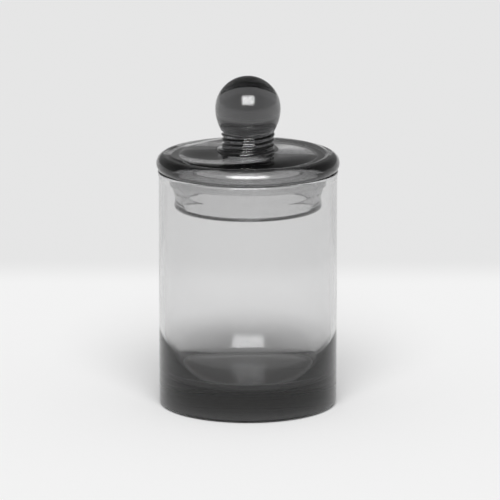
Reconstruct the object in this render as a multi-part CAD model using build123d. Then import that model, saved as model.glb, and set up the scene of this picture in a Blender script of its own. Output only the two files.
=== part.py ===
from build123d import *
from math import acos, asin, cos, degrees, radians, sin
import os

# Smoke-grey glass canister: a thick-based jar and a lid with a ball knob.
# Millimetres and degrees. Z up, the jar stands on z = 0 with its axis on the origin.

# Jar outside
jar_dia = 76.0
jar_height = 102.0
jar_wall = 2.0
heel_radius = 2.0

# Jar rim: a fire-polished lip, slightly fuller than the wall, with a narrow flat land on top
rim_swell = 0.4
rim_tall = 3.6
rim_land = 0.9

# Jar inside: the wall thickens in a long curve, then rounds into the solid base
base_thick = 12.2
flank_radius = 39.4
flank_turn = 25.0
corner_radius = 7.5

# Lid rim and dome: levels are measured up from the face that rests on the jar
lid_overhang = 1.0
edge_radius = 4.0
edge_level = 2.7
dome_radius = 160.0
dome_tilt = 8.0
ceiling_level = 2.6

# Collar that hangs inside the jar: depths are measured down from the same face
collar_gap = 3.2
collar_depth = 16.3
collar_wall = 3.3
waist_in = 1.7
shank_radius = 20.0
waist_radius = 8.0
lip_out = 0.4
lip_radius = 1.4
mouth_edge = 1.0

# Knob: ball, ringed neck and flared foot in one piece
ball_dia = 27.8
ball_level = 26.2
throat_dia = 21.6
throat_level = 15.9
ring_dia = 22.0
ring_level = 13.5
neck_dia = 21.2
neck_level = 11.3
flare_dia = 23.0
flare_level = 9.7
foot_dia = 26.2

jar_radius = jar_dia / 2
bore_radius = jar_radius - jar_wall
lid_radius = jar_radius + lid_overhang
seat = jar_height


def turned(outline):
    """One solid turned from half of its section, which closes on the axis."""
    return revolve(Plane.XZ * make_face(outline.line), axis=Axis.Z).solid()


def make_jar():
    land_in = jar_radius - jar_wall / 2 - rim_land / 2
    land_out = land_in + rim_land
    swell_radius = jar_radius + rim_swell - land_out
    bevel = land_in - bore_radius
    flank_tall = flank_radius * sin(radians(flank_turn))
    corner_tall = corner_radius * (1 - sin(radians(flank_turn)))
    flank_top = base_thick + corner_tall + flank_tall
    with BuildLine() as outline:
        Line((0, 0), (jar_radius - heel_radius, 0))
        JernArc((jar_radius - heel_radius, 0), (1, 0), heel_radius, 90)
        Line((jar_radius, heel_radius), (jar_radius, jar_height - rim_tall))
        Line((jar_radius, jar_height - rim_tall), (jar_radius + rim_swell, jar_height - swell_radius))
        JernArc((jar_radius + rim_swell, jar_height - swell_radius), (0, 1), swell_radius, 90)
        Line((land_out, jar_height), (land_in, jar_height))
        Line((land_in, jar_height), (bore_radius, jar_height - bevel))
        Line((bore_radius, jar_height - bevel), (bore_radius, flank_top))
        flank = JernArc((bore_radius, flank_top), (0, -1), flank_radius, -flank_turn)
        corner = JernArc(flank @ 1, flank % 1, corner_radius, flank_turn - 90)
        Line(corner @ 1, (0, base_thick))
        Line((0, base_thick), (0, 0))
    return turned(outline)


def make_lid():
    ball_mid = seat + ball_level
    throat = (throat_dia / 2, seat + throat_level)
    neck = (neck_dia / 2, seat + neck_level)
    # The lower half of the ball is drawn down to the throat in one longer arc
    throat_in = ball_dia / 2 - throat[0]
    throat_drop = ball_level - throat_level
    belly_radius = (throat_in**2 + throat_drop**2) / (2 * throat_in)
    belly_turn = degrees(asin(throat_drop / belly_radius))
    # The dome runs from the foot tangent into the rim arc, which stops on the face that rests on the jar
    edge_in = lid_radius - edge_radius
    edge_mid = seat + edge_level
    edge_under = degrees(asin(edge_level / edge_radius))
    dome_in = edge_in - (dome_radius - edge_radius) * sin(radians(dome_tilt))
    dome_mid = edge_mid - (dome_radius - edge_radius) * cos(radians(dome_tilt))
    foot_tilt = degrees(asin((foot_dia / 2 - dome_in) / dome_radius))
    collar = bore_radius - collar_gap
    tip = seat - collar_depth
    waist_turn = degrees(acos(1 - waist_in / (shank_radius + waist_radius)))
    lip_turn = degrees(acos(1 - lip_out / (waist_radius + lip_radius)))
    shank_tall = (shank_radius + waist_radius) * sin(radians(waist_turn))
    lip_tall = (waist_radius + lip_radius) * sin(radians(lip_turn)) + lip_radius
    waist_level = tip + lip_tall
    shank_top = waist_level + shank_tall
    mouth = collar - waist_in - collar_wall
    ceiling = seat + ceiling_level
    with BuildLine() as outline:
        CenterArc((0, ball_mid), ball_dia / 2, 90, -90)
        CenterArc((ball_dia / 2 - belly_radius, ball_mid), belly_radius, 0, -belly_turn)
        ThreePointArc(throat, (ring_dia / 2, seat + ring_level), neck)
        dome = CenterArc((dome_in, dome_mid), dome_radius, 90 - foot_tilt, foot_tilt - dome_tilt)
        ThreePointArc(neck, (flare_dia / 2, seat + flare_level), dome @ 0)
        edge = CenterArc((edge_in, edge_mid), edge_radius, 90 - dome_tilt, dome_tilt - 90 - edge_under)
        Line(edge @ 1, (collar, seat))
        Line((collar, seat), (collar, shank_top))
        # Collar: a long shank drawn in to the waist, then out to the rolled lip
        shank = JernArc((collar, shank_top), (0, -1), shank_radius, -waist_turn)
        waist = JernArc(shank @ 1, shank % 1, waist_radius, waist_turn + lip_turn)
        lip = JernArc(waist @ 1, waist % 1, lip_radius, -90 - lip_turn)
        Line(lip @ 1, (mouth + mouth_edge, tip))
        Line((mouth + mouth_edge, tip), (mouth, tip + mouth_edge))
        # The inside keeps the same wall up to the flat ceiling
        Line((mouth, tip + mouth_edge), (mouth, waist_level))
        inner = JernArc((mouth, waist_level), (0, 1), waist_radius + collar_wall, -waist_turn)
        upper = JernArc(inner @ 1, inner % 1, shank_radius - collar_wall, waist_turn)
        Line(upper @ 1, (collar - collar_wall, ceiling))
        Line((collar - collar_wall, ceiling), (0, ceiling))
        Line((0, ceiling), (0, ball_mid + ball_dia / 2))
    return turned(outline)


os.makedirs("parts", exist_ok=True)
for name, solid in (("jar", make_jar()), ("lid", make_lid())):
    solid.label = name
    export_step(solid, f"parts/{name}.step")
    print(name, "volume", round(solid.volume), "top", round(solid.bounding_box().max.Z, 2))
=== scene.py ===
import math

import bpy
import numpy as np
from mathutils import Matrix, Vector


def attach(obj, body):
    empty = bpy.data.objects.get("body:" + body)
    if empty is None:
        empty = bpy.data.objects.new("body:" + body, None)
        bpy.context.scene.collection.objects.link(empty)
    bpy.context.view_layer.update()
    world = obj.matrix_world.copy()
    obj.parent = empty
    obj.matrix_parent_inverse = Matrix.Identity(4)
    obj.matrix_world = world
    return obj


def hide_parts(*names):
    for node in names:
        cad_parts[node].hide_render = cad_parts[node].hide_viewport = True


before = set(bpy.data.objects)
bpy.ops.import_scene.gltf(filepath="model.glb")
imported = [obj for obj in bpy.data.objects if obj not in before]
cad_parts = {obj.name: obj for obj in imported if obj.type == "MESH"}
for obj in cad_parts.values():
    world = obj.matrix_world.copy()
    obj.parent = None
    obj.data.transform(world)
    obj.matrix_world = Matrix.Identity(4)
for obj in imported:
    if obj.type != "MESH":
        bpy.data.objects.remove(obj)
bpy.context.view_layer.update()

# A smoke-grey glass canister: a heavy-based jar, and a lid with a ball knob and a collar
# that hangs inside the jar. Both pieces are turned from a half section, which is given
# in millimetres as (radius, height) and has the same sizes as the solids.

mm = 0.001
scene = bpy.context.scene
print("frame loaded:", ", ".join(sorted(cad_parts)))


# Lines that make up a half section, each a row of points.

def straight(start, end, steps):
    return np.linspace(start, end, steps + 1)


def arc(middle, radius, fromAngle, toAngle, steps):
    turn = np.radians(np.linspace(fromAngle, toAngle, steps + 1))
    return np.column_stack((middle[0] + radius * np.cos(turn), middle[1] + radius * np.sin(turn)))


def bendBetween(start, end, startWay, endWay, steps):
    # a smooth bend that leaves along startWay and arrives along endWay
    start, end = np.array(start), np.array(end)
    reach = np.linalg.norm(end - start)
    t = np.linspace(0, 1, steps + 1)[:, None]
    return (start * (1 + 2 * t) * (1 - t) ** 2 + np.array(startWay) * reach * t * (1 - t) ** 2
            + end * t * t * (3 - 2 * t) + np.array(endWay) * reach * t * t * (t - 1))


def joinLines(lines):
    # points close to each line's ends keep a corner crisp but not razor sharp
    soft = 0.12       # mm from a line's end to its added point
    most = 0.4        # share of the first and last step that this may take
    apart = 0.001     # points nearer than this are one point
    outline = []
    for line in lines:
        first = line[0] + (line[1] - line[0]) * min(most, soft / np.linalg.norm(line[1] - line[0]))
        last = line[-1] + (line[-2] - line[-1]) * min(most, soft / np.linalg.norm(line[-2] - line[-1]))
        for spot in (line[0], first, *line[1:-1], last, line[-1]):
            if not outline or np.linalg.norm(spot - outline[-1]) > apart:
                outline.append(spot)
    return np.array(outline)


def smoothRise(values, low, high):
    t = np.clip((values - low) / (high - low), 0, 1)
    return t * t * (3 - 2 * t)


# The tree that turns a half section into a closed glass body.

weldGap = 2e-6    # metres, joins the seam and the poles


def put(tree, kind, feeds=None, **ways):
    node = tree.nodes.new(kind)
    for name, value in ways.items():
        setattr(node, name, value)
    for spot, value in (feeds or {}).items():
        if isinstance(value, bpy.types.NodeSocket):
            tree.links.new(value, node.inputs[spot])
        else:
            node.inputs[spot].default_value = value
    return node


def sums(tree, operation, first, second=0.0):
    return put(tree, "ShaderNodeMath", {0: first, 1: second}, operation=operation).outputs[0]


def vectors(tree, operation, first, second=None, scale=None):
    feeds = {0: first}
    if second is not None:
        feeds[1] = second
    if scale is not None:
        feeds["Scale"] = scale
    return put(tree, "ShaderNodeVectorMath", feeds, operation=operation).outputs[0]


def dotted(tree, first, second):
    return put(tree, "ShaderNodeVectorMath", {0: first, 1: second},
               operation="DOT_PRODUCT").outputs["Value"]


def mixColours(tree, factor, first, second, blend="MIX"):
    # a Mix node has its two colours in sockets 6 and 7, and gives the mixed one in 2
    return put(tree, "ShaderNodeMix", {"Factor": factor, 6: first, 7: second},
               data_type="RGBA", blend_type=blend).outputs[2]


def makeTurningTree():
    tree = bpy.data.node_groups.new("turnedGlass", "GeometryNodeTree")
    tree.is_modifier = True
    tree.interface.new_socket("Geometry", in_out="OUTPUT", socket_type="NodeSocketGeometry")
    tree.interface.new_socket("Geometry", in_out="INPUT", socket_type="NodeSocketGeometry")
    for name, kind in (("Turns", "Int"), ("Groove Depth", "Float"), ("Groove Starts", "Float"),
                       ("Groove Pitch", "Float"), ("Unevenness", "Float"), ("Unevenness Size", "Float"),
                       ("Seed", "Float"), ("Glass", "Material")):
        tree.interface.new_socket(name, in_out="INPUT", socket_type="NodeSocket" + kind)
    given = tree.nodes.new("NodeGroupInput").outputs
    count = put(tree, "GeometryNodeAttributeDomainSize", {0: given["Geometry"]}).outputs["Point Count"]
    columns = put(tree, "FunctionNodeIntegerMath", {0: given["Turns"], 1: 1}, operation="ADD").outputs[0]
    grid = put(tree, "GeometryNodeMeshGrid", {"Vertices X": count, "Vertices Y": columns}).outputs["Mesh"]
    index = tree.nodes.new("GeometryNodeInputIndex").outputs[0]
    row = put(tree, "FunctionNodeIntegerMath", {0: index, 1: columns}, operation="DIVIDE_FLOOR").outputs[0]
    column = put(tree, "FunctionNodeIntegerMath", {0: index, 1: columns}, operation="MODULO").outputs[0]

    def fromOutline(kind, value):
        feeds = {"Geometry": given["Geometry"], "Value": value, "Index": row}
        return put(tree, "GeometryNodeSampleIndex", feeds, data_type=kind, domain="POINT").outputs[0]

    def named(name, kind):
        node = put(tree, "GeometryNodeInputNamedAttribute", {"Name": name}, data_type=kind)
        return fromOutline(kind, node.outputs["Attribute"])

    spot = fromOutline("FLOAT_VECTOR", tree.nodes.new("GeometryNodeInputPosition").outputs[0])
    outward = named("outward", "FLOAT_VECTOR")
    angle = sums(tree, "MULTIPLY", sums(tree, "DIVIDE", column, given["Turns"]), 2 * math.pi)

    # spiral grooves left by the tool that drew the neck
    height = put(tree, "ShaderNodeSeparateXYZ", {0: spot}).outputs["Z"]
    climb = sums(tree, "MULTIPLY", sums(tree, "DIVIDE", height, given["Groove Pitch"]), 2 * math.pi)
    phase = sums(tree, "ADD", sums(tree, "MULTIPLY", angle, given["Groove Starts"]), climb)
    groove = sums(tree, "MULTIPLY", sums(tree, "SINE", phase), given["Groove Depth"])
    groove = sums(tree, "MULTIPLY", groove, named("grooved", "FLOAT"))

    # slow unevenness of pressed glass
    turned = put(tree, "ShaderNodeVectorRotate", {"Vector": spot, "Angle": angle},
                 rotation_type="Z_AXIS").outputs[0]
    waves = put(tree, "ShaderNodeTexNoise", {"Vector": turned, "W": given["Seed"], "Detail": 1.0,
                                             "Scale": given["Unevenness Size"]},
                noise_dimensions="4D").outputs[0]
    waves = sums(tree, "MULTIPLY", sums(tree, "SUBTRACT", waves, 0.5), given["Unevenness"])
    waves = sums(tree, "MULTIPLY", waves, named("uneven", "FLOAT"))

    shift = vectors(tree, "SCALE", outward, scale=sums(tree, "ADD", groove, waves))
    moved = vectors(tree, "ADD", spot, shift)
    placed = put(tree, "ShaderNodeVectorRotate", {"Vector": moved, "Angle": angle},
                 rotation_type="Z_AXIS").outputs[0]
    body = put(tree, "GeometryNodeSetPosition", {"Geometry": grid, "Position": placed}).outputs[0]
    body = put(tree, "GeometryNodeMergeByDistance", {"Geometry": body, "Distance": weldGap}).outputs[0]
    body = put(tree, "GeometryNodeSetShadeSmooth", {"Geometry": body}).outputs[0]
    body = put(tree, "GeometryNodeRealizeInstances", {"Geometry": body}).outputs[0]
    body = put(tree, "GeometryNodeSetMaterial", {"Geometry": body, "Material": given["Glass"]}).outputs[0]
    tree.links.new(body, tree.nodes.new("NodeGroupOutput").inputs[0])
    return tree


def turnGlass(name, outline, grooved, uneven, tree, finish, glass):
    # the half section is drawn clockwise, so its outward side is on the left
    ways = np.gradient(outline, axis=0)
    ways /= np.linalg.norm(ways, axis=1)[:, None]
    outward = np.column_stack((-ways[:, 1], np.zeros(len(ways)), ways[:, 0]))
    outward[0] = (0, 0, np.sign(outward[0][2]))
    outward[-1] = (0, 0, np.sign(outward[-1][2]))
    mesh = bpy.data.meshes.new(name + "Outline")
    mesh.from_pydata([(r * mm, 0, z * mm) for r, z in outline],
                     [(i, i + 1) for i in range(len(outline) - 1)], [])
    mesh.attributes.new("outward", "FLOAT_VECTOR", "POINT").data.foreach_set("vector", outward.ravel())
    mesh.attributes.new("grooved", "FLOAT", "POINT").data.foreach_set("value", grooved)
    mesh.attributes.new("uneven", "FLOAT", "POINT").data.foreach_set("value", uneven)
    drawing = bpy.data.objects.new(name + "Drawing", mesh)
    scene.collection.objects.link(drawing)
    turning = drawing.modifiers.new("turning", "NODES")
    turning.node_group = tree
    values = dict(finish, Glass=glass)
    for item in tree.interface.items_tree:
        if item.in_out == "INPUT" and item.name in values:
            turning[item.identifier] = values[item.name]
    bpy.context.view_layer.update()
    solid = bpy.data.meshes.new_from_object(drawing.evaluated_get(bpy.context.evaluated_depsgraph_get()))
    bpy.data.objects.remove(drawing)    # its modifier goes with it
    solid.name = name
    kept = ("position", "sharp_face", "material_index")
    for spare in [a.name for a in solid.attributes if a.name not in kept and not a.name.startswith(".")]:
        solid.attributes.remove(solid.attributes[spare])
    piece = bpy.data.objects.new(name, solid)
    scene.collection.objects.link(piece)
    print(name, "turned:", len(outline), "section points,", len(solid.polygons), "faces")
    return piece


# Smoke-grey glass: clear skin, even smoke inside, faint streaks and seeds.

def makeGlass(name, look):
    material = bpy.data.materials.new(name)
    material.use_nodes = True
    tree = material.node_tree
    shader = tree.nodes["Principled BSDF"]
    shader.inputs["Base Color"].default_value = (1, 1, 1, 1)
    shader.inputs["Roughness"].default_value = look["roughness"]
    shader.inputs["IOR"].default_value = look["bend"]
    shader.inputs["Transmission Weight"].default_value = 1.0
    smoke = put(tree, "ShaderNodeVolumeAbsorption", {"Color": look["smoke"], "Density": look["density"]})
    tree.links.new(smoke.outputs[0], tree.nodes["Material Output"].inputs["Volume"])

    place = tree.nodes.new("ShaderNodeTexCoord").outputs["Object"]
    # drawn streaks run up the wall, cords wind through the thick glass
    stretched = put(tree, "ShaderNodeMapping", {"Vector": place, "Scale": look["streakScale"]}).outputs[0]
    streaks = put(tree, "ShaderNodeTexNoise", {"Vector": stretched, "Scale": 1.0, "Detail": 2.0,
                                              "Distortion": look["streakTwist"]}).outputs[0]
    bump = put(tree, "ShaderNodeBump", {"Height": streaks, "Strength": 1.0,
                                        "Distance": look["streakDepth"] * mm}).outputs[0]
    # a few seeds, tiny bubbles caught just under the skin
    cells = put(tree, "ShaderNodeTexVoronoi", {"Vector": place, "Scale": look["seedScale"],
                                               "Randomness": 1.0}, feature="F1").outputs["Distance"]
    seeds = put(tree, "ShaderNodeMapRange", {"Value": cells, "From Min": 0.0, "From Max": look["seedSize"],
                                             "To Min": 1.0, "To Max": 0.0},
                interpolation_type="SMOOTHSTEP").outputs[0]
    bump = put(tree, "ShaderNodeBump", {"Height": seeds, "Strength": 1.0, "Normal": bump,
                                        "Distance": look["seedDepth"] * mm}).outputs[0]
    tree.links.new(bump, shader.inputs["Normal"])
    return material


jarLook = {
    "roughness": 0.0,
    "bend": 1.5,                   # how strongly the glass bends light
    "smoke": (0.3, 0.3, 0.305, 1),
    "density": 95.0,               # how dark the smoke is, per metre
    "streakScale": (70, 70, 9),    # long streaks that run up the wall
    "streakTwist": 0.4,
    "streakDepth": 0.010,          # mm
    "seedScale": 90.0, "seedSize": 0.035, "seedDepth": 0.05,
}
lidLook = {
    "roughness": 0.0,
    "bend": 1.5,
    "smoke": (0.3, 0.3, 0.305, 1),
    "density": 128.0,
    "streakScale": (30, 30, 450),  # fine cords that wind round the lid
    "streakTwist": 0.8,
    "streakDepth": 0.030,          # mm
    "seedScale": 110.0, "seedSize": 0.035, "seedDepth": 0.05,
}

turningTree = makeTurningTree()
jarGlass = makeGlass("smoke_glass_jar", jarLook)
lidGlass = makeGlass("smoke_glass_lid", lidLook)
print("glass mixed")


# Jar, in millimetres and degrees.

jarSizes = {
    "wide": 76.0, "tall": 102.0, "wall": 2.0, "heel": 2.0,
    "rimSwell": 0.4, "rimTall": 3.6, "rimLand": 0.9,
    "base": 12.2,
    "flankRadius": 39.4, "flankTurn": 25.0,    # the wall thickens towards the base
    "cornerRadius": 7.5,
    "evenFoot": (0.5, 6.0), "evenRim": (90.0, 98.0), "evenMiddle": (0.0, 12.0),    # where unevenness fades
}
jarFinish = {"Turns": 255, "Groove Depth": 0.0, "Groove Starts": 0.0, "Groove Pitch": 1.0,
             "Unevenness": 0.12 * mm, "Unevenness Size": 40.0, "Seed": 3.0}


def drawJar(s):
    outer, top, base = s["wide"] / 2, s["tall"], s["base"]
    bore = outer - s["wall"]
    landIn = outer - s["wall"] / 2 - s["rimLand"] / 2
    landOut = landIn + s["rimLand"]
    swell = outer + s["rimSwell"] - landOut
    bevel = landIn - bore
    flank, turn, corner = s["flankRadius"], math.radians(s["flankTurn"]), s["cornerRadius"]
    flankTop = base + corner * (1 - math.sin(turn)) + flank * math.sin(turn)
    floor = bore - flank * (1 - math.cos(turn)) - corner * math.cos(turn)
    return joinLines([
        straight((0, base), (floor, base), 14),
        arc((floor, base + corner), corner, -90, -s["flankTurn"], 28),
        arc((bore - flank, flankTop), flank, -s["flankTurn"], 0, 30),
        straight((bore, flankTop), (bore, top - bevel), 24),
        bendBetween((bore, top - bevel), (landIn, top), (0, 1), (1, 0), 8),
        straight((landIn, top), (landOut, top), 2),
        arc((landOut, top - swell), swell, 90, 0, 12),
        straight((outer + s["rimSwell"], top - swell), (outer, top - s["rimTall"]), 6),
        straight((outer, top - s["rimTall"]), (outer, s["heel"]), 30),
        arc((outer - s["heel"], s["heel"]), s["heel"], 0, -90, 10),
        straight((outer - s["heel"], 0), (0, 0), 14),
    ])


jarLine = drawJar(jarSizes)
jarUneven = (smoothRise(jarLine[:, 1], *jarSizes["evenFoot"])
             * (1 - smoothRise(jarLine[:, 1], *jarSizes["evenRim"]))
             * smoothRise(jarLine[:, 0], *jarSizes["evenMiddle"]))
jar = turnGlass("turned_jar", jarLine, np.zeros(len(jarLine)), jarUneven, turningTree, jarFinish, jarGlass)
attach(jar, "root")
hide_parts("jar")


# Lid, in millimetres and degrees. Levels and depths are measured from the jar's land.

lidSizes = {
    "wide": 78.0, "edgeRadius": 4.0, "edgeLevel": 2.7, "domeRadius": 160.0, "domeTilt": 8.0,
    "ceiling": 2.6, "cornerRadius": 0.3,
    "collarGap": 3.2, "collarDeep": 16.3, "collarWall": 3.3,
    "waistIn": 1.7, "shankRadius": 20.0, "waistRadius": 8.0,
    "lipOut": 0.4, "lipRadius": 1.4, "mouthEdge": 1.0,
    "ballWide": 27.8, "ballLevel": 26.2,
    "throatWide": 21.6, "throatLevel": 15.9,
    "ringWide": 22.0, "ringLevel": 13.5,
    "neckWide": 21.2, "neckLevel": 11.3,
    "flareWide": 23.0, "flareLevel": 9.7, "footWide": 26.2,
    "hair": 0.02,    # the lid's seat stands this far off the jar's land
    "groovesFrom": (5.5, 7.5), "groovesTo": (15.8, 17.6),    # levels between which the grooves fade
    # the dome lies above groovesFrom as well, so they wave it too, out to this radius
    "topEnds": 34.0,
    "evenSeat": (0.8, 4.0), "evenMiddle": (0.0, 9.0), "evenEdge": (36.0, 38.2),    # where unevenness fades
}
lidFinish = {"Turns": 287, "Groove Depth": 0.48 * mm, "Groove Starts": -2.0, "Groove Pitch": 2.2 * mm,
             "Unevenness": 0.12 * mm, "Unevenness Size": 60.0, "Seed": 8.0}


def throughThree(start, between, end, steps):
    # the arc that passes through three points
    (ax, ay), (bx, by), (cx, cy) = start, between, end
    d = 2 * (ax * (by - cy) + bx * (cy - ay) + cx * (ay - by))
    a, b, c = ax * ax + ay * ay, bx * bx + by * by, cx * cx + cy * cy
    ux = (a * (by - cy) + b * (cy - ay) + c * (ay - by)) / d
    uy = (a * (cx - bx) + b * (ax - cx) + c * (bx - ax)) / d
    first, last = math.degrees(math.atan2(ay - uy, ax - ux)), math.degrees(math.atan2(cy - uy, cx - ux))
    turn = (last - first + 180) % 360 - 180
    return arc((ux, uy), math.hypot(ax - ux, ay - uy), first, first + turn, steps)


def drawLid(s, jarSize):
    seat = jarSize["tall"]
    under = seat + s["hair"]
    ball, ballMid = s["ballWide"] / 2, seat + s["ballLevel"]
    throat = (s["throatWide"] / 2, seat + s["throatLevel"])
    fall, drop = ball - throat[0], ballMid - throat[1]
    belly = (fall * fall + drop * drop) / (2 * fall)
    neck = (s["neckWide"] / 2, seat + s["neckLevel"])
    edgeMid, edgeIn = seat + s["edgeLevel"], s["wide"] / 2 - s["edgeRadius"]
    tilt = math.radians(s["domeTilt"])
    reach = s["domeRadius"] - s["edgeRadius"]
    domeIn, domeMid = edgeIn - reach * math.sin(tilt), edgeMid - reach * math.cos(tilt)
    footTilt = math.degrees(math.asin((s["footWide"] / 2 - domeIn) / s["domeRadius"]))
    dome = arc((domeIn, domeMid), s["domeRadius"], 90 - footTilt, 90 - s["domeTilt"], 44)
    edgeUnder = math.degrees(math.asin((s["edgeLevel"] - s["hair"]) / s["edgeRadius"]))
    collar, tip = jarSize["wide"] / 2 - jarSize["wall"] - s["collarGap"], seat - s["collarDeep"]
    shank, bend, wall, lip = s["shankRadius"], s["waistRadius"], s["collarWall"], s["lipRadius"]
    waistTurn = math.acos(1 - s["waistIn"] / (shank + bend))
    lipTurn = math.acos(1 - s["lipOut"] / (bend + lip))
    waistLevel = tip + (bend + lip) * math.sin(lipTurn) + lip
    shankLevel = waistLevel + (shank + bend) * math.sin(waistTurn)
    waistTurn, lipTurn = math.degrees(waistTurn), math.degrees(lipTurn)
    waist = collar - s["waistIn"]
    mouth, hollow, ceiling, corner = waist - wall, collar - wall, seat + s["ceiling"], s["cornerRadius"]
    lipIn = waist + s["lipOut"] - lip
    lipMid = tip + lip
    return joinLines([
        arc((0, ballMid), ball, 90, 0, 40),
        arc((ball - belly, ballMid), belly, 0, -math.degrees(math.asin(drop / belly)), 24),
        throughThree(throat, (s["ringWide"] / 2, seat + s["ringLevel"]), neck, 16),
        throughThree(neck, (s["flareWide"] / 2, seat + s["flareLevel"]), dome[0], 16),
        dome,
        arc((edgeIn, edgeMid), s["edgeRadius"], 90 - s["domeTilt"], -edgeUnder, 36),
        straight((edgeIn + s["edgeRadius"] * math.cos(math.radians(edgeUnder)), under), (collar, under), 4),
        straight((collar, under), (collar, shankLevel), 4),
        arc((collar - shank, shankLevel), shank, 0, -waistTurn, 12),
        arc((waist + bend, waistLevel), bend, 180 - waistTurn, 180 + lipTurn, 16),
        arc((lipIn, lipMid), lip, lipTurn, -90, 14),
        straight((lipIn, tip), (mouth + s["mouthEdge"], tip), 3),
        straight((mouth + s["mouthEdge"], tip), (mouth, tip + s["mouthEdge"]), 3),
        straight((mouth, tip + s["mouthEdge"]), (mouth, waistLevel), 3),
        arc((waist + bend, waistLevel), bend + wall, 180, 180 - waistTurn, 14),
        arc((collar - shank, shankLevel), shank - wall, -waistTurn, 0, 10),
        straight((hollow, shankLevel), (hollow, ceiling - corner), 4),
        arc((hollow - corner, ceiling - corner), corner, 0, 90, 8),
        straight((hollow - corner, ceiling), (0, ceiling), 30),
    ])


lidLine = drawLid(lidSizes, jarSizes)
lidLevel = lidLine[:, 1] - jarSizes["tall"]
onTop = (np.arange(len(lidLine)) < np.argmax(lidLine[:, 0] > lidSizes["topEnds"])) * 1.0
lidGrooved = (onTop * smoothRise(lidLevel, *lidSizes["groovesFrom"])
              * (1 - smoothRise(lidLevel, *lidSizes["groovesTo"])))
lidUneven = (smoothRise(lidLevel, *lidSizes["evenSeat"])
             * smoothRise(lidLine[:, 0], *lidSizes["evenMiddle"])
             * (1 - smoothRise(lidLine[:, 0], *lidSizes["evenEdge"])))
lid = turnGlass("turned_lid", lidLine, lidGrooved, lidUneven, turningTree, lidFinish, lidGlass)
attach(lid, "root")
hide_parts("lid")


# Floor, room and sun.

roomLook = {
    "floorHalf": 40.0,     # metres
    "floorRoughness": 0.9,
    "floorNear": 0.885, "floorFar": 0.775,    # the floor's tone before and past the change
    "changeAt": 0.245, "changeSoft": 0.03,    # metres behind the canister
    "backdrop": 0.80,      # what the camera sees past the floor
    "paintedFloorGlow": 0.030,    # painted glow: light the floor gives off itself, standing in for light that would come through the glass onto the floor under it
    "fill": 0.42,          # even light from the room on the floor
    # what the glass sees of the room, as (sine of the height looked at, brightness)
    "glassSees": ((0.0, 0.80), (0.05, 0.80), (0.11, 0.33), (0.5, 0.20), (0.75, 0.10), (1.0, 0.06)),
    "sunStrength": 2.3, "sunSpread": 40.0, "sunUp": 50.0, "sunRound": 0.0,    # degrees
    "boxRadiance": 16.0, "boxUp": 40.0, "boxRound": 0.0,
    "boxWide": 0.38, "boxTall": 0.285, "boxSoft": 0.13,    # half sizes and soft edge, at one metre
    "bounces": 24, "mirrorBounces": 10,
}


def grey(value):
    return (value, value, value, 1)


def direction(up, round):
    up, round = math.radians(up), math.radians(round)
    return Vector((math.sin(round) * math.cos(up), -math.cos(round) * math.cos(up), math.sin(up)))


def makeFloor(look):
    mesh = bpy.data.meshes.new("floor")
    half = look["floorHalf"]
    corners = [(-half, -half, 0), (half, -half, 0), (half, half, 0), (-half, half, 0)]
    mesh.from_pydata(corners, [], [(0, 1, 2, 3)])
    floor = bpy.data.objects.new("floor", mesh)
    scene.collection.objects.link(floor)
    material = bpy.data.materials.new("pale_sweep")
    material.use_nodes = True
    tree = material.node_tree
    shader = tree.nodes["Principled BSDF"]
    shader.inputs["Roughness"].default_value = look["floorRoughness"]
    shader.inputs["Specular IOR Level"].default_value = 0.0
    # painted glow: the floor emits a little white light of its own, which lifts the floor seen under and
    # behind the glass
    shader.inputs["Emission Color"].default_value = (1, 1, 1, 1)
    shader.inputs["Emission Strength"].default_value = look["paintedFloorGlow"]
    place = tree.nodes.new("ShaderNodeTexCoord").outputs["Object"]
    back = put(tree, "ShaderNodeSeparateXYZ", {0: place}).outputs["Y"]
    far = put(tree, "ShaderNodeMapRange", {"Value": back, "From Min": look["changeAt"] - look["changeSoft"],
                                           "From Max": look["changeAt"] + look["changeSoft"]},
              interpolation_type="SMOOTHSTEP").outputs[0]
    tone = put(tree, "ShaderNodeMix", {"Factor": far, "A": look["floorNear"], "B": look["floorFar"]},
               data_type="FLOAT")
    tree.links.new(tone.outputs[0], shader.inputs["Base Color"])
    mesh.materials.append(material)


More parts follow.
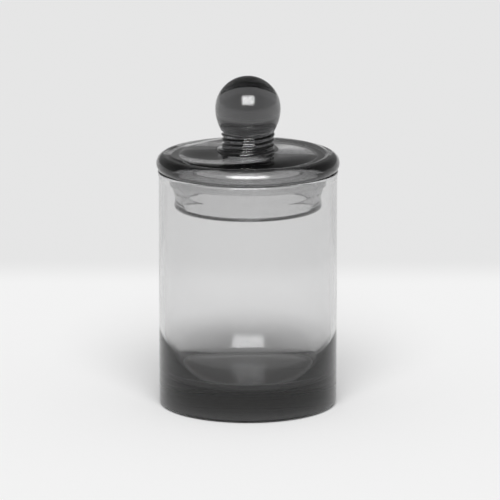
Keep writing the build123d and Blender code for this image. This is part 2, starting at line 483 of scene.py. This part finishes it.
def makeRoom(look):
    world = bpy.data.worlds.new("room")
    scene.world = world
    world.use_nodes = True
    world.cycles.sampling_method = "NONE"
    tree = world.node_tree
    background = tree.nodes["Background"]
    light = tree.nodes.new("ShaderNodeLightPath").outputs
    way = tree.nodes.new("ShaderNodeTexCoord").outputs["Generated"]
    rise = put(tree, "ShaderNodeSeparateXYZ", {0: way}).outputs["Z"]
    ramp = put(tree, "ShaderNodeValToRGB", {0: rise})
    stops = ramp.color_ramp.elements
    while len(stops) < len(look["glassSees"]):
        stops.new(1.0)
    for stop, (place, tone) in zip(stops, look["glassSees"]):
        stop.position = place
        stop.color = grey(tone)
    # the softbox, a bright panel with soft edges that only the glass sees
    toBox = direction(look["boxUp"], look["boxRound"])
    across = direction(0, look["boxRound"] + 90)
    ahead = sums(tree, "MAXIMUM", dotted(tree, way, toBox), 0.01)    # nothing shows behind
    panel = None
    for axis, half in ((across, look["boxWide"]), (toBox.cross(across), look["boxTall"])):
        off = sums(tree, "ABSOLUTE", sums(tree, "DIVIDE", dotted(tree, way, axis), ahead))
        inside = put(tree, "ShaderNodeMapRange", {"Value": off, "From Min": half + look["boxSoft"],
                                                  "From Max": half - look["boxSoft"]},
                     interpolation_type="SMOOTHSTEP").outputs[0]
        panel = inside if panel is None else sums(tree, "MULTIPLY", panel, inside)
    glow = sums(tree, "MULTIPLY", panel, look["boxRadiance"])
    seenByGlass = mixColours(tree, 1.0, ramp.outputs[0], glow, "ADD")
    seen = mixColours(tree, light["Is Camera Ray"], seenByGlass, grey(look["backdrop"]))
    lit = mixColours(tree, light["Diffuse Depth"], seen, grey(look["fill"]))
    tree.links.new(lit, background.inputs["Color"])
    background.inputs["Strength"].default_value = 1.0


def makeSun(look):
    sun = bpy.data.lights.new("soft_overhead", "SUN")
    sun.energy = look["sunStrength"]
    sun.angle = math.radians(look["sunSpread"])
    overhead = bpy.data.objects.new("soft_overhead", sun)
    overhead.rotation_euler = direction(look["sunUp"], look["sunRound"]).to_track_quat("Z", "Y").to_euler()
    overhead.visible_glossy = False
    overhead.visible_transmission = False
    scene.collection.objects.link(overhead)


makeFloor(roomLook)
makeRoom(roomLook)
makeSun(roomLook)
scene.view_settings.view_transform = "Standard"
scene.cycles.max_bounces = roomLook["bounces"]
scene.cycles.transmission_bounces = roomLook["bounces"]
scene.cycles.glossy_bounces = roomLook["mirrorBounces"]
print("floor, room and lamps set")


# Camera, in metres and degrees.

cameraLook = {
    "away": 2.2, "up": 12.9, "round": 0.0,
    "lens": 371.4, "sensor": 36.0,    # mm
    "aim": (0.00087, 0.0, 0.0666), "seesTo": 200.0,
}


def makeCamera(look):
    data = bpy.data.cameras.new("camera")
    data.lens = look["lens"]
    data.sensor_width = look["sensor"]
    data.clip_end = look["seesTo"]
    camera = bpy.data.objects.new("camera", data)
    way = direction(look["up"], look["round"])
    camera.location = Vector(look["aim"]) + way * look["away"]
    camera.rotation_euler = way.to_track_quat("Z", "Y").to_euler()
    scene.collection.objects.link(camera)
    scene.camera = camera


makeCamera(cameraLook)
print("camera placed")
